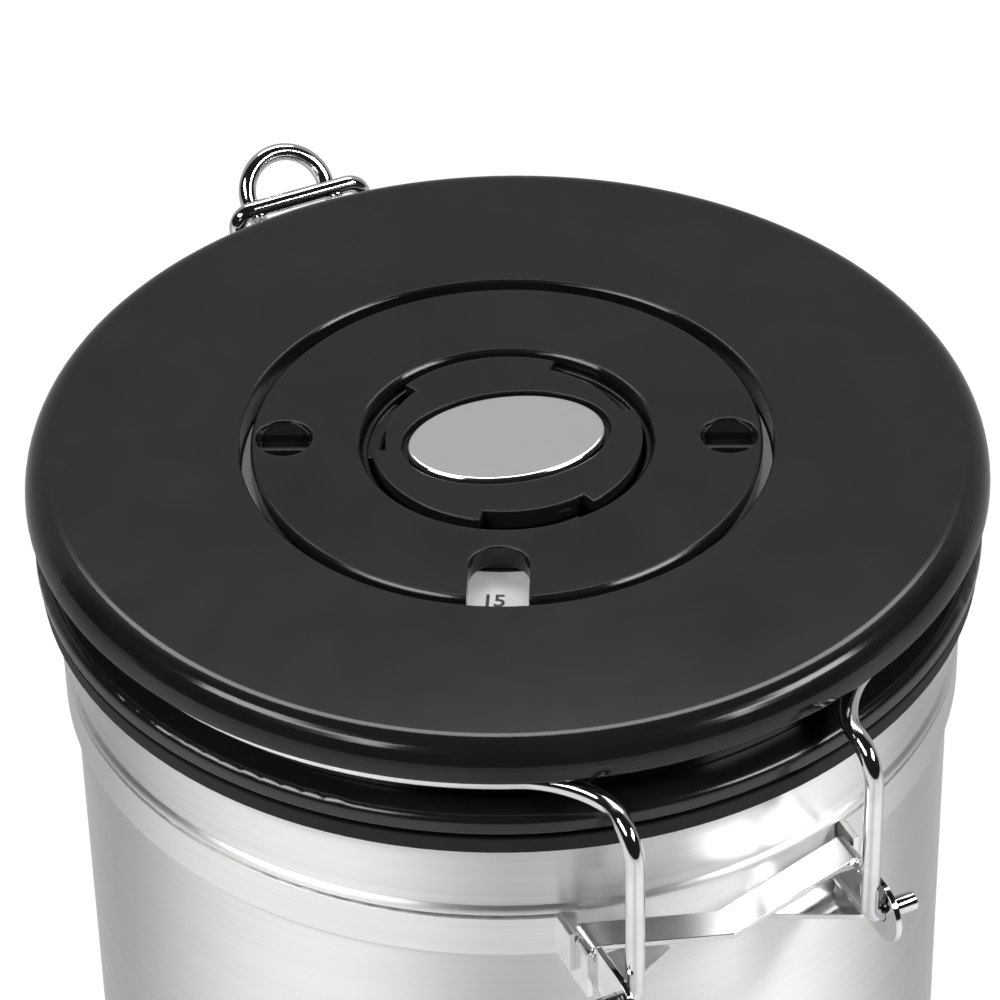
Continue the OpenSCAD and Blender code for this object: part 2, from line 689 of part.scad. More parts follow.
// Wire loop of the latch, from its stubs in the lever up to the crossbar over the tongue
module latch_loop() {
    rise = bar_z - link_z;
    lean = atan((bar_y - link_y) / rise);
    loop_h = norm([rise, bar_y - link_y]);
    corner = 2.4;
    foot = 2;
    stub_in = lever_x - 1.6;
    color(chrome) translate([0, -link_y, link_z]) rotate([lean, 0, 0]) {
        translate([0, 0, loop_h]) rod_x(-loop_x + corner, loop_x - corner, wire_r);
        for (s = [-1, 1]) {
            translate([s * (loop_x - corner), 0, loop_h - corner]) wire_bend(corner, wire_r, s > 0 ? 0 : 90);
            translate([s * loop_x, 0, foot]) cylinder(r = wire_r, h = loop_h - corner - foot);
            translate([s * (loop_x - foot), 0, foot]) wire_bend(foot, wire_r, s > 0 ? 270 : 180);
        }
        rod_x(stub_in, loop_x - foot, wire_r);
        rod_x(-loop_x + foot, -stub_in, wire_r);
    }
}

body_shell();
base_plate();
base_pad();
neck_band();
hinge_bridge();
hinge_lug_left();
hinge_lug_right();
latch_bracket();
latch_pin();
lid_shell();
lid_collar();
lid_gasket();
lid_liner();
liner_screws();
date_card();
dial_washer();
date_dial();
valve_seat();
valve_disc();
valve_filter();
valve_cap();
valve_badge();
badge_tape();
bail_wire();
latch_lever();
latch_loop();
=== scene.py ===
"""Coffee canister with a one-way valve: finishes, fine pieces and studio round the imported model."""

import math

import bpy
from bpy.props import FloatProperty, FloatVectorProperty, IntProperty, PointerProperty
from mathutils import Matrix, Vector


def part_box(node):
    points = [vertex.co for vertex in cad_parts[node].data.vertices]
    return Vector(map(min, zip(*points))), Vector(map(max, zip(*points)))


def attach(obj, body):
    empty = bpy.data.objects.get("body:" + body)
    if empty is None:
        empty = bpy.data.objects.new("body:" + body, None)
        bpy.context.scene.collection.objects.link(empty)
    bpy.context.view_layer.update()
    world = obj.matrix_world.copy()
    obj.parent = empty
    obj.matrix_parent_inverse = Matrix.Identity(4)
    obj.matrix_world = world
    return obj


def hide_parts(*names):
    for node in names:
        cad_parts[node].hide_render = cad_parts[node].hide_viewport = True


bl_info = {
    "name": "Coffee Canister",
    "version": (1, 0, 0),
    "blender": (4, 5, 0),
    "location": "3D View > Sidebar > Canister",
    "description": "Finishes, fine pieces and studio for a steel coffee canister",
    "category": "Add Mesh",
}

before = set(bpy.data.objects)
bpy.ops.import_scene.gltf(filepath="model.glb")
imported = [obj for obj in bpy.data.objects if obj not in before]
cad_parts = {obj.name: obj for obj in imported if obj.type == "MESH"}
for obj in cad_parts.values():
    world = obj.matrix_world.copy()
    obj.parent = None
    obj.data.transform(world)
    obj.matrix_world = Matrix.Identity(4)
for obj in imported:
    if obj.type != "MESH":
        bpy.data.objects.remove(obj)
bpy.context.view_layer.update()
MM = 0.001

LID_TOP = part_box("lid_shell")[1][2]
HINGE_OUT = 71.6 * MM
HINGE_DROP = 34.0 * MM
HINGE = Vector((0.0, HINGE_OUT, LID_TOP - HINGE_DROP))
WINDOW_TURN = math.radians(62.7)
BADGE_TURN = math.radians(168.0)

# depths below the lid's top, in millimetres, where the fine dark lines of the neck begin, are full,
# begin to fade and end; the lines are fine hatch, darkened as painted shade of the rolled bead
NECK_HATCH_AND_SHADE = (27.6, 27.2, 26.3, 25.9)

LAST_DAY = 31
SHOWN_DAY = 15
PRINT_HEIGHT = 0.01 * MM
PRINT_LIFT = 0.011 * MM

# name, place on the far side, to the right and above the lid in metres, size, power setting
LAMPS = (
    ("lamp_strip", 0.73, 0.0, 0.95, (0.95, 0.32), "strip"),
    ("lamp_left", -0.47, -0.67, 0.81, (0.8, 0.25), "side"),
    ("lamp_right", -0.31, 0.82, 0.75, (0.6, 0.25), "side"),
)
FLOOR_SIZE = 6.0


# sizes and colours


def length(name, description, millimetres):
    """A length in metres, whose default is given in millimetres"""
    return FloatProperty(
        name=name, description=description, default=millimetres * MM, unit="LENGTH"
    )


def turning(name, description, degrees):
    """An angle, whose default is given in degrees"""
    return FloatProperty(
        name=name, description=description, default=math.radians(degrees), subtype="ANGLE"
    )


def plain(name, description, value):
    return FloatProperty(name=name, description=description, default=value)


def tone(name, description, value):
    """A colour in three channels"""
    return FloatVectorProperty(
        name=name, description=description, default=value, size=3, subtype="COLOR"
    )


class CanisterSizes(bpy.types.PropertyGroup):
    """Sizes of the pieces that are modelled here"""

    wire: length("Wire", "Diameter of the bail's wire", 2.5)
    wire_sides: IntProperty(
        name="Wire sides", description="Sides in a quarter of the round wire", default=6, min=3, max=10
    )
    badge_long: length("Badge length", "Length of the oval badge", 26.6)
    badge_short: length("Badge width", "Width of the oval badge", 18.0)
    badge_edge: length("Badge edge", "Radius of the badge's rounded edge", 0.35)
    number_size: length("Number size", "Height of the numbers on the card", 3.4)
    number_slip: turning("Number slip", "Turn of the shown day from the window's middle", -1.4)
    number_ring: length("Number ring", "Radius of the middle of the numbers", 29.6)


class CanisterColours(bpy.types.PropertyGroup):
    """Colours of the finishes"""

    steel: tone("Steel", "Brushed steel of the body", (0.94, 0.935, 0.925))
    chrome: tone("Chrome", "Polished wire and bracket sheets", (0.74, 0.74, 0.75))
    black: tone("Black", "Gloss plastic of the lid", (0.006, 0.006, 0.0065))
    silicone: tone("Silicone", "Gasket, pad and flap", (0.0125, 0.0125, 0.0129))
    liner: tone("Liner", "Matt plastic inside the lid", (0.035, 0.035, 0.036))
    card: tone("Card", "Printed card under the dial", (0.86, 0.86, 0.84))
    ink: tone("Ink", "Numbers on the card", (0.03, 0.03, 0.035))
    badge: tone("Badge", "Satin badge on the cap", (0.98, 0.98, 0.98))


class StudioSettings(bpy.types.PropertyGroup):
    """Camera and lamps"""

    azimuth: turning("Azimuth", "Direction of the camera round the canister", 155.5)
    elevation: turning("Elevation", "Height of the camera above the level", 38.0)
    roll: turning("Roll", "Tilt of the frame", 1.28)
    distance: length("Distance", "From the lens to the middle of the lid", 631.5)
    shift_x: length("Shift right", "Camera's move to the right", -0.86)
    shift_y: length("Shift up", "Camera's move upwards in the frame", -8.58)
    lens: plain("Lens", "Focal length in millimetres", 171.0)
    strip: plain("Strip lamp", "Power of the strip on the far side, in watts", 6.0)
    side: plain("Side lamps", "Power of each side lamp, in watts", 7.5)
    dome: plain("Dome", "Brightness of the studio's dark ceiling", 0.015)
    panel: plain("Panel", "Brightness of the pale panel on the far side", 0.42)


# shader maths


class Val:
    """A number that changes over a surface. Sums and products of it add Math nodes."""

    def __init__(self, look, socket):
        self.look, self.socket = look, socket

    def _math(self, operation, first, second=0.0):
        node = self.look.node("ShaderNodeMath", {"operation": operation}, {0: first, 1: second})
        return Val(self.look, node.outputs[0])

    def __add__(self, other):
        return self._math("ADD", self, other)

    def __radd__(self, other):
        return self._math("ADD", other, self)

    def __sub__(self, other):
        return self._math("SUBTRACT", self, other)

    def __rsub__(self, other):
        return self._math("SUBTRACT", other, self)

    def __mul__(self, other):
        return self._math("MULTIPLY", self, other)

    def __rmul__(self, other):
        return self._math("MULTIPLY", other, self)

    def step(self, low, high):
        """0 below low, 1 above high, and smooth between them"""
        values = {0: self, 1: low, 2: high, 3: 0.0, 4: 1.0}
        node = self.look.node("ShaderNodeMapRange", {"interpolation_type": "SMOOTHSTEP"}, values)
        return Val(self.look, node.outputs[0])

    def clamp(self):
        return self._math("MINIMUM", self._math("MAXIMUM", self, 0.0), 1.0)

    def absolute(self):
        return self._math("ABSOLUTE", self)


class Look:
    """One finish: a Principled surface whose varying inputs are written as expressions."""

    def __init__(self, name, **constants):
        self.material = bpy.data.materials.new(name)
        self.material.use_nodes = True
        self.tree = self.material.node_tree
        self.tree.nodes.clear()
        self.output = self.tree.nodes.new("ShaderNodeOutputMaterial")
        self.surface = self.tree.nodes.new("ShaderNodeBsdfPrincipled")
        self.tree.links.new(self.surface.outputs[0], self.output.inputs[0])
        self.place = self.node("ShaderNodeTexCoord").outputs["Object"]
        for key, value in constants.items():
            self.set(key.replace("_", " ").title().replace("Ior", "IOR"), value)
        self.material.diffuse_color = (0.5, 0.5, 0.5, 1.0)

    def put(self, socket, value):
        """Link the value to the socket, or set it there"""
        if isinstance(value, Val):
            value = value.socket
        if isinstance(value, bpy.types.NodeSocket):
            self.tree.links.new(value, socket)
            return
        four = hasattr(socket.default_value, "__len__") and len(socket.default_value) == 4
        socket.default_value = (*value, 1.0) if four and len(value) == 3 else value

    def node(self, kind, settings=None, values=None):
        made = self.tree.nodes.new(kind)
        for key, value in (settings or {}).items():
            setattr(made, key, value)
        for key, value in (values or {}).items():
            self.put(made.inputs[key], value)
        return made

    def set(self, socket, value):
        self.put(self.surface.inputs[socket], value)

    def xyz(self):
        parts = self.node("ShaderNodeSeparateXYZ", None, {0: self.place}).outputs
        return Val(self, parts[0]), Val(self, parts[1]), Val(self, parts[2])

    def stretched(self, x, y, z):
        """The place on the piece, stretched, in cycles to the metre"""
        values = {"Vector": self.place, "Scale": (x, y, z)}
        return self.node("ShaderNodeMapping", {"vector_type": "POINT"}, values).outputs[0]

    def noise(self, scale, detail=2.0, roughness=0.5, at=None):
        values = {"Vector": at or self.place, "Scale": scale, "Detail": detail, "Roughness": roughness}
        return Val(self, self.node("ShaderNodeTexNoise", None, values).outputs[0])

    def speckle(self, scale):
        values = {"Vector": self.place, "Scale": scale}
        return Val(self, self.node("ShaderNodeTexVoronoi", None, values).outputs[0])

    def mix(self, amount, first, second):
        made = self.node("ShaderNodeMix", {"data_type": "RGBA"})
        self.put(made.inputs[0], amount)
        self.put(made.inputs[6], first)
        self.put(made.inputs[7], second)
        return made.outputs[2]

    def glow(self, shader, colour, strength, amount):
        """The shader, with an even glow mixed in by the given amount"""
        light = self.node("ShaderNodeEmission", None, {"Color": colour, "Strength": strength})
        blend = self.node("ShaderNodeMixShader", None, {0: amount})
        self.tree.links.new(shader.outputs[0], blend.inputs[1])
        self.tree.links.new(light.outputs[0], blend.inputs[2])
        return blend

    def relief(self, height, depth, strength=1.0, soft_edge=0.0):
        """Bump in metres, over an edge that looks rounded to the given radius"""
        values = {"Height": height, "Distance": depth, "Strength": strength}
        if soft_edge:
            bevel = self.node("ShaderNodeBevel", {"samples": 6}, {"Radius": soft_edge})
            values["Normal"] = bevel.outputs[0]
        self.set("Normal", self.node("ShaderNodeBump", None, values).outputs[0])


def tint(colour, factor):
    return tuple(min(1.0, channel * factor) for channel in colour)


# finishes


def brushed_steel(colour):
    """Steel brushed round the canister, with faint uneven bands and fine lines at the neck, darkened
    as painted shade of the rolled bead
    """
    look = Look("steel_brushed", metallic=1.0, anisotropic=0.9, anisotropic_rotation=0.25)
    fine = look.noise(1.0, 4.0, 0.65, look.stretched(26, 26, 6200))
    coarse = look.noise(1.0, 2.0, 0.5, look.stretched(8, 8, 700))
    clouds = look.noise(24.0, 3.0)
    _, _, z = look.xyz()
    begin, full, fade, end = (LID_TOP - depth * MM for depth in NECK_HATCH_AND_SHADE)
    neck = z.step(begin, full) - z.step(fade, end)
    neck_hatch_and_shade = look.noise(1.0, 1.0, 0.5, look.stretched(2, 2, 3600)).step(0.44, 0.56) * neck
    shade = (fine * 0.5 + coarse * 0.2 + clouds * 0.3).step(0.2, 0.8)
    dull, bright = tint(colour, 0.93), tint(colour, 1.06)
    # the neck lines darken the colour as painted shade of the rolled bead; their bump below is real
    # hatch
    look.set("Base Color", look.mix((shade - neck_hatch_and_shade * 0.4).clamp(), dull, bright))
    look.set("Roughness", 0.36 + 0.08 * fine + 0.05 * clouds)
    look.relief(fine - neck_hatch_and_shade, 0.0000016, 0.5)
    return look.material


def polished_wire(colour, name="steel_polished"):
    """Polished wire and sheet, with soft haze and hairline scratches"""
    look = Look(name, metallic=1.0)
    haze = look.noise(160.0, 3.0)
    hair = look.noise(1.0, 2.0, 0.6, look.stretched(300, 3600, 300))
    look.set("Base Color", look.mix(haze.step(0.3, 0.7), tint(colour, 0.93), tint(colour, 1.1)))
    look.set("Roughness", 0.03 + 0.05 * haze + 0.03 * hair)
    look.relief(hair, 0.0000015, 0.4, 0.00022)
    return look.material


def sheet_steel(colour):
    """Satin sheet of the neck band, brushed round"""
    look = Look("steel_band", metallic=1.0, anisotropic=0.7, anisotropic_rotation=0.25)
    fine = look.noise(1.0, 3.0, 0.6, look.stretched(20, 20, 5200))
    haze = look.noise(60.0, 2.0)
    look.set("Base Color", look.mix(fine.step(0.3, 0.7), tint(colour, 0.96), tint(colour, 1.04)))
    look.set("Roughness", 0.26 + 0.06 * fine + 0.04 * haze)
    look.relief(fine, 0.000001, 0.5, 0.00018)
    return look.material


def gloss_plastic(name, colour, base=0.09, edge=0.00035, shine=1.4):
    """Gloss moulded plastic with a slight ripple, haze and a few dust specks"""
    look = Look(name, ior=shine)
    ripple = look.noise(22.0, 1.0)
    haze = look.noise(75.0, 4.0, 0.6)
    dust = 1.0 - look.speckle(420.0).step(0.02, 0.045)
    specks = dust * look.noise(130.0, 1.0).step(0.58, 0.66)
    pale = (0.09, 0.09, 0.09)
    look.set("Base Color", look.mix((specks * 0.25 + haze * 0.12).clamp(), colour, pale))
    look.set("Roughness", base + 0.06 * haze + 0.25 * specks)
    look.relief(ripple + 0.04 * haze, 0.00003, 0.35, edge)
    return look.material


def silicone(colour):
    """Satin silicone with a fine grain and a little lint"""
    look = Look("silicone_grey", ior=1.3)
    grain = look.noise(1900.0, 2.0)
    cloud = look.noise(60.0, 3.0)
    lint = 1.0 - look.speckle(650.0).step(0.03, 0.07)
    dark, pale = tint(colour, 0.85), tint(colour, 1.7)
    look.set("Base Color", look.mix((cloud * 0.5 + lint * 0.4).clamp(), dark, pale))
    look.set("Roughness", 0.42 + 0.12 * cloud + 0.1 * grain)
    look.relief(grain, 0.00002, 0.4, 0.0004)
    return look.material


def matt_plastic(colour):
    """Moulded plastic with a fine spark-eroded grain"""
    look = Look("plastic_matt", ior=1.47)
    grain = look.speckle(1500.0)
    cloud = look.noise(45.0, 2.0)
    look.set("Base Color", look.mix(cloud, tint(colour, 0.85), tint(colour, 1.25)))
    look.set("Roughness", 0.5 + 0.15 * grain)
    look.relief(grain, 0.00004, 0.35, 0.0003)
    return look.material


def printed_card(colour):
    """Uncoated white card with its fibres"""
    look = Look("card_white", ior=1.45)
    fibre = look.noise(1.0, 4.0, 0.65, look.stretched(900, 1400, 900))
    cloud = look.noise(40.0, 2.0)
    shade = fibre * 0.6 + cloud * 0.4
    look.set("Base Color", look.mix(shade, tint(colour, 0.94), tint(colour, 1.04)))
    look.set("Roughness", 0.62 + 0.15 * fibre)
    look.relief(fibre, 0.00003, 0.4)
    return look.material


def number_ink(colour):
    """Printed ink, a little uneven"""
    look = Look("ink_black", ior=1.45)
    patch = look.noise(1500.0, 3.0)
    look.set("Base Color", look.mix(patch, tint(colour, 0.7), tint(colour, 1.6)))
    look.set("Roughness", 0.45 + 0.15 * patch)
    return look.material


def satin_badge(colour):
    """Blasted and anodised plate: fine grain, soft sheen"""
    look = Look("badge_satin", metallic=1.0)
    grain = look.noise(5200.0, 2.0)
    cloud = look.noise(90.0, 2.0)
    shade = grain * 0.6 + cloud * 0.4
    look.set("Base Color", look.mix(shade, tint(colour, 0.86), tint(colour, 1.14)))
    look.set("Roughness", 0.08 + 0.04 * grain)
    look.relief(grain, 0.0000008, 0.5, 0.00025)
    return look.material


def filter_felt():
    """Pale felt of pressed fibres"""
    look = Look("felt_pale", ior=1.4)
    fibre = look.noise(1300.0, 5.0, 0.7)
    look.set("Base Color", look.mix(fibre, (0.5, 0.48, 0.42), (0.8, 0.78, 0.72)))
    look.set("Roughness", 0.85 + 0.1 * fibre)
    look.relief(fibre, 0.00015, 0.6)
    return look.material


def adhesive_tape():
    """White adhesive pad"""
    look = Look("tape_white", ior=1.45)
    cell = look.speckle(2600.0)
    look.set("Base Color", look.mix(cell, (0.72, 0.72, 0.7), (0.85, 0.85, 0.83)))
    look.set("Roughness", 0.55 + 0.2 * cell)
    return look.material


# modelling helpers


def deselect():
    if bpy.context.mode != "OBJECT":
        bpy.ops.object.mode_set(mode="OBJECT")
    bpy.ops.object.select_all(action="DESELECT")


def only(piece):
    deselect()
    piece.select_set(True)
    bpy.context.view_layer.objects.active = piece


def settle(piece):
    """Place, turn and scale go into the mesh"""
    only(piece)
    bpy.ops.object.transform_apply(location=True, rotation=True, scale=True)


def smooth(piece, degrees):
    only(piece)
    bpy.ops.object.shade_smooth_by_angle(angle=math.radians(degrees))


def modify(piece, kind, **settings):
    only(piece)
    made = piece.modifiers.new(kind.lower(), kind)
    for key, value in settings.items():
        setattr(made, key, value)
    bpy.ops.object.modifier_apply(modifier=made.name)


def hand_over(piece, name, body, look, nodes=()):
    """The piece is finished: its name, the body it rides on and the nodes it stands for"""
    settle(piece)
    piece.name = name
    piece.data.name = name
    piece.data.materials.clear()
    piece.data.materials.append(look)
    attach(piece, body)
    if nodes:
        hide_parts(*nodes)
    deselect()


def dress(look, *nodes):
    """A CAD node keeps its mesh and gets a finish"""
    for name in nodes:
        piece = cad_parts.get(name)
        if piece is None:
            raise RuntimeError("no such node: " + name)
        for place in piece.material_slots:
            place.material = look


# the bail's route


def sin(degrees):
    return math.sin(math.radians(degrees))


def cos(degrees):
    return math.cos(math.radians(degrees))


def curve_points(a, b, c, d, count):
    """Points on a smooth bend from a to d, pulled towards b and c, without its end"""
    found = []
    for i in range(count):
        t = i / count
        s = 1.0 - t
        found.append(s ** 3 * a + 3 * t * s * s * b + 3 * t * t * s * c + t ** 3 * d)
    return found


def bail_route():
    """Half of the bail's middle line, in millimetres, from its pin to the tongue, then mirrored"""
    hinge_y, hinge_z = HINGE.y / MM, HINGE.z / MM
    bail_z = LID_TOP / MM - 7.3
    ring = 61.0
    pin_end, leg, foot_bend, top_bend = 19.6, 16.7, 1.9, 5.0
    join, front, slope = 24.2, 9.9, 50.0
    tongue_bend, tongue_leg, half = 2.5, 72.6, 6.0
    ring_steps, arch_steps = 74, 16

    route = [Vector((pin_end, hinge_y, hinge_z))]
    for a in range(0, 91, 10):
        across = leg + foot_bend * (1 - sin(a))
        route.append(Vector((across, hinge_y, hinge_z + foot_bend * (1 - cos(a)))))
    route += [Vector((leg, hinge_y, hinge_z + z)) for z in (6, 11, 16)]
    for a in range(0, 86, 6):
        out = hinge_y - top_bend * (1 - cos(a))
        route.append(Vector((leg, out, bail_z - top_bend * (1 - sin(a)))))

    corner = Vector((leg, hinge_y - top_bend, bail_z))
    meet = Vector((ring * sin(join), ring * cos(join), bail_z))
    run = Vector((cos(join), -sin(join), 0))
    route += curve_points(corner, corner + Vector((0, -4.1, 0)), meet - 4.5 * run, meet, 14)

    last = 180.0 - front
    for i in range(ring_steps):
        a = join + (last - join) * i / ring_steps
        route.append(Vector((ring * sin(a), ring * cos(a), bail_z)))

    leave = Vector((ring * sin(front), -ring * cos(front), bail_z))
    away = Vector((-cos(front), -sin(front), 0))
    start = Vector((half, -ring - 4.5, bail_z))
    route += curve_points(leave, leave + 2.8 * away, start + Vector((0, 3, 0)), start, 12)
    route += [start + Vector((0, -d, 0)) for d in (0, 2.3, 4.6)]
    for a in range(0, 50, 7):
        out = -tongue_leg - tongue_bend * sin(a)
        route.append(Vector((half, out, bail_z + tongue_bend * (1 - cos(a)))))

    arch_y = tongue_leg + tongue_bend * sin(slope)
    arch_z = bail_z + tongue_bend * (1 - cos(slope))
    for i in range(arch_steps + 1):
        a = 90.0 * i / arch_steps
        out = -arch_y - half * sin(a) * cos(slope)
        route.append(Vector((half * cos(a), out, arch_z + half * sin(a) * sin(slope))))
    return route + [Vector((-p.x, p.y, p.z)) for p in reversed(route[:-1])]


# operators


class CANISTER_OT_steel(bpy.types.Operator):
    """Finish the steel body, its band and its bottom"""

    bl_idname = "canister.steel"
    bl_label = "Steel Body"

    def execute(self, context):
        colours = context.scene.canister_colours
        dress(brushed_steel(colours.steel), "body_shell", "base_plate")
        dress(sheet_steel(tint(colours.steel, 0.93)), "neck_band")
        return {"FINISHED"}


class CANISTER_OT_closure(bpy.types.Operator):
    """Finish the hinge bridge, the lugs and the latch"""

    bl_idname = "canister.closure"
    bl_label = "Hinge and Latch"

    def execute(self, context):
        look = polished_wire(context.scene.canister_colours.chrome)
        dress(look, "hinge_bridge", "hinge_lug_left", "hinge_lug_right")
        dress(look, "latch_bracket", "latch_pin", "latch_lever", "latch_loop")
        return {"FINISHED"}


class CANISTER_OT_bail(bpy.types.Operator):
    """Bend the bail from round wire along its route"""

    bl_idname = "canister.bail"
    bl_label = "Bail Wire"

    def execute(self, context):
        sizes = context.scene.canister_sizes
        piece = self.bent_wire(context, sizes)
        for side in (-1, 1):
            pin = self.pin(context, side, sizes)
            deselect()
            pin.select_set(True)
            piece.select_set(True)
            context.view_layer.objects.active = piece
            bpy.ops.object.join()
        smooth(piece, 40)
        look = polished_wire(context.scene.canister_colours.chrome, "steel_wire")
        hand_over(piece, "bail", "lid", look, ("bail_wire",))
        return {"FINISHED"}

    def bent_wire(self, context, sizes):
        """Round wire along the route, as a mesh"""
        deselect()
        bpy.ops.curve.primitive_nurbs_path_add()
        piece = context.active_object
        wire = piece.data
        route = bail_route()
        wire.splines.clear()
        line = wire.splines.new("POLY")
        line.points.add(len(route) - 1)
        for point, place in zip(line.points, route):
            point.co = (*(place * MM), 1.0)
        wire.dimensions = "3D"
        wire.bevel_depth = sizes.wire / 2
        wire.bevel_resolution = sizes.wire_sides
        wire.use_fill_caps = True
        only(piece)
        bpy.ops.object.convert(target="MESH")
        return context.active_object

    def pin(self, context, side, sizes):
        """End of the wire in its lug, with a softened cut"""
        low, high = 18.6 * MM, 23.3 * MM
        over_wire, soft_cut = 0.02 * MM, 0.2 * MM
        deselect()
        bpy.ops.mesh.primitive_cylinder_add(
            vertices=40,
            radius=sizes.wire / 2 + over_wire,
            depth=high - low,
            location=(side * (low + high) / 2, HINGE.y, HINGE.z),
            rotation=(0, math.pi / 2, 0),
        )
        pin = context.active_object
        modify(pin, "BEVEL", width=soft_cut, segments=3, limit_method="ANGLE")
        return pin


class CANISTER_OT_lid(bpy.types.Operator):
    """Finish the lid's mouldings, its gasket, its liner and the valve"""

    bl_idname = "canister.lid"
    bl_label = "Lid"

    def execute(self, context):
        colours = context.scene.canister_colours
        black = colours.black
        dress(gloss_plastic("plastic_gloss", black), "lid_shell")
        dress(gloss_plastic("plastic_collar", black, 0.12, 0.0004, 1.5), "lid_collar")
        dress(gloss_plastic("plastic_dial", black, 0.08, 0.00045), "date_dial", "valve_seat")
        dress(gloss_plastic("plastic_cap", black, 0.08, 0.0004), "valve_cap")
        rubber = silicone(colours.silicone)
        dress(rubber, "lid_gasket", "base_pad", "dial_washer", "valve_disc")
        dress(matt_plastic(colours.liner), "lid_liner")
        dress(polished_wire(colours.chrome, "steel_screw"), "liner_screws")
        dress(filter_felt(), "valve_filter")
        dress(adhesive_tape(), "badge_tape")
        dress(printed_card(colours.card), "date_card")
        return {"FINISHED"}


class CANISTER_OT_badge(bpy.types.Operator):
    """Model the bare oval badge with its rounded edge"""

    bl_idname = "canister.badge"
    bl_label = "Badge"

    def execute(self, context):
        sizes = context.scene.canister_sizes
        low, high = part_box("valve_badge")
        deselect()
        bpy.ops.mesh.primitive_circle_add(
            vertices=128, radius=1.0, fill_type="NGON", location=(0, 0, low[2])
        )
        piece = context.active_object
        piece.scale = (sizes.badge_long / 2, sizes.badge_short / 2, 1.0)
        piece.rotation_euler = (0, 0, BADGE_TURN)
        settle(piece)
        thick = high[2] - low[2]
        bpy.ops.object.mode_set(mode="EDIT")
        bpy.ops.mesh.select_all(action="SELECT")
        bpy.ops.mesh.extrude_region_move(TRANSFORM_OT_translate={"value": (0, 0, thick)})
        bpy.ops.mesh.select_all(action="SELECT")
        bpy.ops.mesh.normals_make_consistent(inside=False)
        bpy.ops.object.mode_set(mode="OBJECT")
        sharp = math.radians(60)
        edge = sizes.badge_edge
        modify(piece, "BEVEL", width=edge, segments=4, limit_method="ANGLE", angle_limit=sharp)
        self.flatten(piece)
        smooth(piece, 30)
        look = satin_badge(context.scene.canister_colours.badge)
        hand_over(piece, "badge", "cap", look, ("valve_badge",))
        return {"FINISHED"}

    def flatten(self, piece):
        """A narrow border inside both faces keeps their shading level"""
        border = 0.1 * MM
        most = max(len(face.vertices) for face in piece.data.polygons)
        for face in piece.data.polygons:
            face.select = len(face.vertices) == most
        for edge in piece.data.edges:
            edge.select = False
        only(piece)
        bpy.ops.object.mode_set(mode="EDIT")
        bpy.ops.mesh.select_mode(type="FACE")
        bpy.ops.mesh.inset(thickness=border, depth=0.0)
        bpy.ops.object.mode_set(mode="OBJECT")


class CANISTER_OT_numbers(bpy.types.Operator):
    """Print the days of the month round the card"""

    bl_idname = "canister.numbers"
    bl_label = "Numbers on the Card"

    def execute(self, context):
        sizes = context.scene.canister_sizes
        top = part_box("date_card")[1][2]
        made = [self.number(context, day, sizes, top) for day in range(1, LAST_DAY + 1)]
        deselect()
        for digit in made:
            digit.select_set(True)
        context.view_layer.objects.active = made[0]
        bpy.ops.object.join()
        piece = context.active_object
        look = number_ink(context.scene.canister_colours.ink)
        hand_over(piece, "date_numbers", "lid", look)
        return {"FINISHED"}

    def number(self, context, day, sizes, top):
        """One day as a thin mesh, turned to its place on the card"""
        deselect()
        bpy.ops.object.text_add()
        text = context.active_object
        text.data.body = str(day)
        text.data.size = sizes.number_size
        text.data.offset = 0.06 * MM
        text.data.space_character = 0.92
        text.data.align_x = "CENTER"
        text.data.align_y = "CENTER"
        text.data.extrude = PRINT_HEIGHT
        text.data.resolution_u = 3
        only(text)
        bpy.ops.object.convert(target="MESH")
        digit = context.active_object
        from_shown = math.radians((day - SHOWN_DAY) * 360.0 / LAST_DAY)
        around = Matrix.Rotation(WINDOW_TURN + sizes.number_slip + from_shown, 4, "Z")
        out = Matrix.Translation((sizes.number_ring, 0, top + PRINT_LIFT))
        upright = Matrix.Rotation(math.pi / 2, 4, "Z")
        digit.matrix_world = around @ out @ upright
        settle(digit)
        return digit


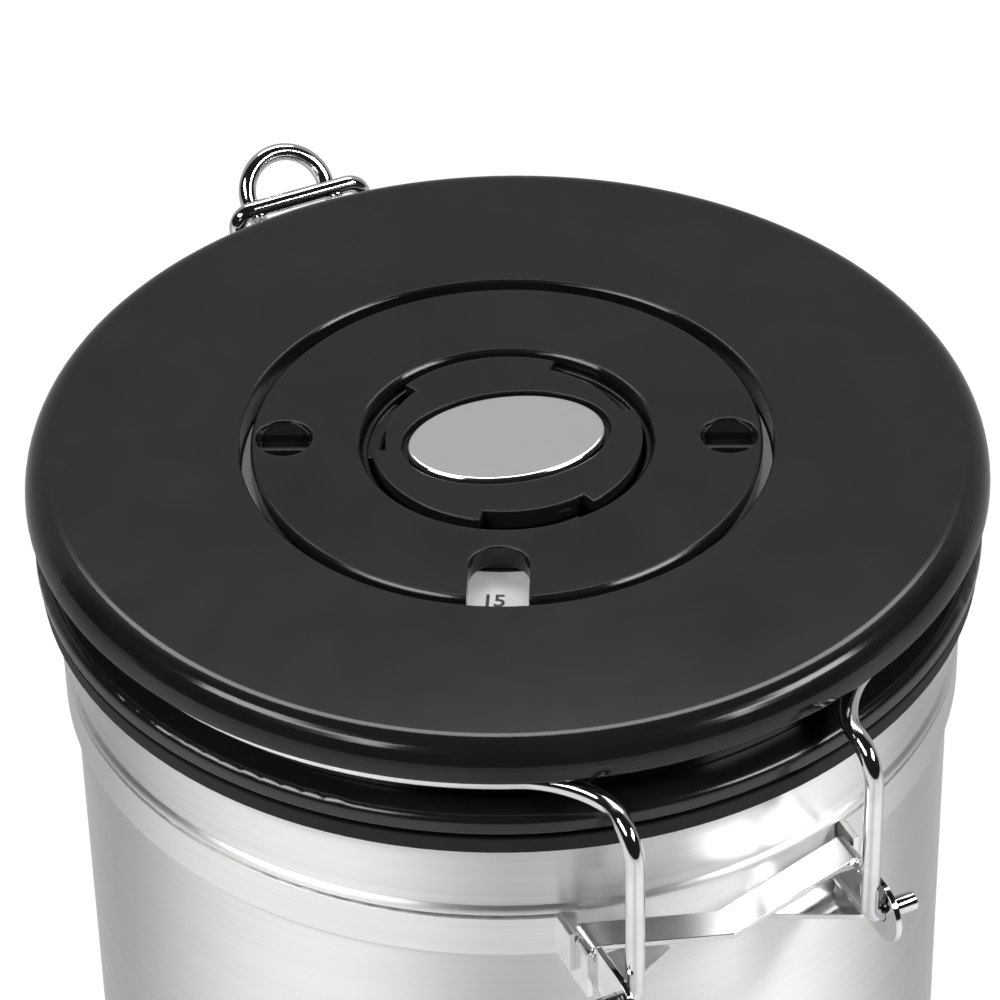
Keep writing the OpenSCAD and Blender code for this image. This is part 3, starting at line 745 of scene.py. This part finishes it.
class CANISTER_OT_studio(bpy.types.Operator):
    """Build the floor, the lamps and the camera"""

    bl_idname = "canister.studio"
    bl_label = "Studio"

    def execute(self, context):
        settings = context.scene.canister_studio
        deselect()
        bpy.ops.mesh.primitive_plane_add(size=FLOOR_SIZE, location=(0, 0, 0))
        floor = context.active_object
        floor.name = "floor"
        floor.data.materials.append(self.floor_look())
        self.world(context, settings)
        self.camera(context, settings)
        a = settings.azimuth
        far = Vector((-math.sin(a), math.cos(a), 0.0))
        side = Vector((math.cos(a), math.sin(a), 0.0))
        up = Vector((0, 0, 1))
        middle = Vector((0, 0, LID_TOP))
        for name, away, right, above, size, power in LAMPS:
            place = middle + far * away + side * right + up * above
            self.lamp(context, name, place, middle, size, getattr(settings, power))
        context.scene.view_settings.view_transform = "Standard"
        return {"FINISHED"}

    def floor_look(self):
        """White floor with its shadow: bright where it is seen, and dimmer where it is mirrored, with
        painted dark reflections on its far side and in front
        """
        look = Look("floor_white", roughness=0.9)
        look.set("Base Color", (0.86, 0.86, 0.86))
        path = look.node("ShaderNodeLightPath").outputs
        mirrored = Val(look, path["Is Glossy Ray"])
        seen = (Val(look, path["Is Camera Ray"]) + Val(look, path["Is Transmission Ray"])).clamp()
        amount = (seen * 0.8 + mirrored * 0.55).clamp()
        white = look.glow(look.surface, (1, 1, 1), 1.1, amount)
        # the two directions of the photograph's view on the floor, rounded
        across, along = 0.91, 0.41
        x, y, _ = look.xyz()
        far = (y * -across - x * along).step(-0.12, 0.1)
        side = (y * along - x * across).absolute().step(0.02, 0.1)
        front = (1.0 - far) * (1.0 - side)
        # painted reflection: seen only in mirrors, the floor glows dark grey on its far side and in
        # front, so the steel shows darker reflections there
        dim = look.glow(white, (0.28, 0.28, 0.28), 1.0, mirrored * (0.7 * far + 0.35 * front))
        look.tree.links.new(dim.outputs[0], look.output.inputs[0])
        return look.material

    def world(self, context, settings):
        """Dark ceiling, a pale panel on the far side, and white where the camera sees it"""
        world = bpy.data.worlds.new("studio")
        world.use_nodes = True
        context.scene.world = world
        tree = world.node_tree
        tree.nodes.clear()
        where = tree.nodes.new("ShaderNodeTexCoord")
        turn = tree.nodes.new("ShaderNodeMapping")
        turn.inputs["Rotation"].default_value = (0.0, 0.0, -settings.azimuth)
        tree.links.new(where.outputs["Generated"], turn.inputs["Vector"])
        parts = tree.nodes.new("ShaderNodeSeparateXYZ")
        tree.links.new(turn.outputs[0], parts.inputs[0])
        far = self.between(tree, parts.outputs[1], 0.25, 0.6)
        low = self.between(tree, parts.outputs[2], 0.95, 0.8)
        both = tree.nodes.new("ShaderNodeMath")
        both.operation = "MULTIPLY"
        tree.links.new(far, both.inputs[0])
        tree.links.new(low, both.inputs[1])
        dome, panel = settings.dome, settings.panel
        sky = self.blend(tree, both.outputs[0], (panel, panel, panel, 1))
        sky.inputs[6].default_value = (dome, dome, dome, 1)
        path = tree.nodes.new("ShaderNodeLightPath")
        seen = self.blend(tree, path.outputs["Is Camera Ray"], (1, 1, 1, 1))
        tree.links.new(sky.outputs[2], seen.inputs[6])
        shine = tree.nodes.new("ShaderNodeBackground")
        tree.links.new(seen.outputs[2], shine.inputs[0])
        end = tree.nodes.new("ShaderNodeOutputWorld")
        tree.links.new(shine.outputs[0], end.inputs[0])

    def blend(self, tree, amount, colour):
        """A colour mix towards the given colour"""
        made = tree.nodes.new("ShaderNodeMix")
        made.data_type = "RGBA"
        made.inputs[7].default_value = colour
        tree.links.new(amount, made.inputs[0])
        return made

    def between(self, tree, socket, low, high):
        """0 at low, 1 at high, and smooth between them"""
        made = tree.nodes.new("ShaderNodeMapRange")
        made.interpolation_type = "SMOOTHSTEP"
        tree.links.new(socket, made.inputs[0])
        made.inputs[1].default_value, made.inputs[2].default_value = low, high
        return made.outputs[0]

    def camera(self, context, settings):
        """The photograph's viewpoint"""
        a, e, roll = settings.azimuth, settings.elevation, settings.roll
        back = Vector((math.sin(a) * math.cos(e), -math.cos(a) * math.cos(e), math.sin(e)))
        level = Vector((math.cos(a), math.sin(a), 0))
        up = back.cross(level)
        right = math.cos(roll) * level - math.sin(roll) * up
        top = math.sin(roll) * level + math.cos(roll) * up
        place = Vector((0, 0, LID_TOP)) + back * settings.distance
        place += right * settings.shift_x + top * settings.shift_y
        deselect()
        bpy.ops.object.camera_add(location=place)
        camera = context.active_object
        camera.matrix_world = Matrix(
            (
                (right.x, top.x, back.x, place.x),
                (right.y, top.y, back.y, place.y),
                (right.z, top.z, back.z, place.z),
                (0, 0, 0, 1),
            )
        )
        camera.data.sensor_width = 36.0
        camera.data.lens = settings.lens
        camera.data.clip_start = 0.01
        camera.data.clip_end = 20.0
        context.scene.camera = camera

    def lamp(self, context, name, place, target, size, power):
        """A rectangular lamp that points at the target"""
        deselect()
        bpy.ops.object.light_add(type="AREA", location=place)
        made = context.active_object
        made.name = name
        made.data.shape = "RECTANGLE"
        made.data.size, made.data.size_y = size
        made.data.energy = power
        made.rotation_euler = (place - target).to_track_quat("Z", "Y").to_euler()


class CANISTER_PT_panel(bpy.types.Panel):
    """Buttons for each part of the canister"""

    bl_label = "Coffee Canister"
    bl_idname = "CANISTER_PT_panel"
    bl_space_type = "VIEW_3D"
    bl_region_type = "UI"
    bl_category = "Canister"

    def draw(self, context):
        column = self.layout.column()
        for kind in OPERATORS:
            column.operator(kind.bl_idname)


OPERATORS = (
    CANISTER_OT_steel,
    CANISTER_OT_closure,
    CANISTER_OT_bail,
    CANISTER_OT_lid,
    CANISTER_OT_badge,
    CANISTER_OT_numbers,
    CANISTER_OT_studio,
)
CLASSES = (CanisterSizes, CanisterColours, StudioSettings, *OPERATORS, CANISTER_PT_panel)


def register():
    for kind in CLASSES:
        bpy.utils.register_class(kind)
    bpy.types.Scene.canister_sizes = PointerProperty(type=CanisterSizes)
    bpy.types.Scene.canister_colours = PointerProperty(type=CanisterColours)
    bpy.types.Scene.canister_studio = PointerProperty(type=StudioSettings)


def unregister():
    del bpy.types.Scene.canister_studio
    del bpy.types.Scene.canister_colours
    del bpy.types.Scene.canister_sizes
    for kind in reversed(CLASSES):
        bpy.utils.unregister_class(kind)


def main():
    register()
    bpy.ops.canister.steel()
    bpy.ops.canister.closure()
    bpy.ops.canister.bail()
    bpy.ops.canister.lid()
    bpy.ops.canister.badge()
    bpy.ops.canister.numbers()
    bpy.ops.canister.studio()


if __name__ == "__main__":
    main()
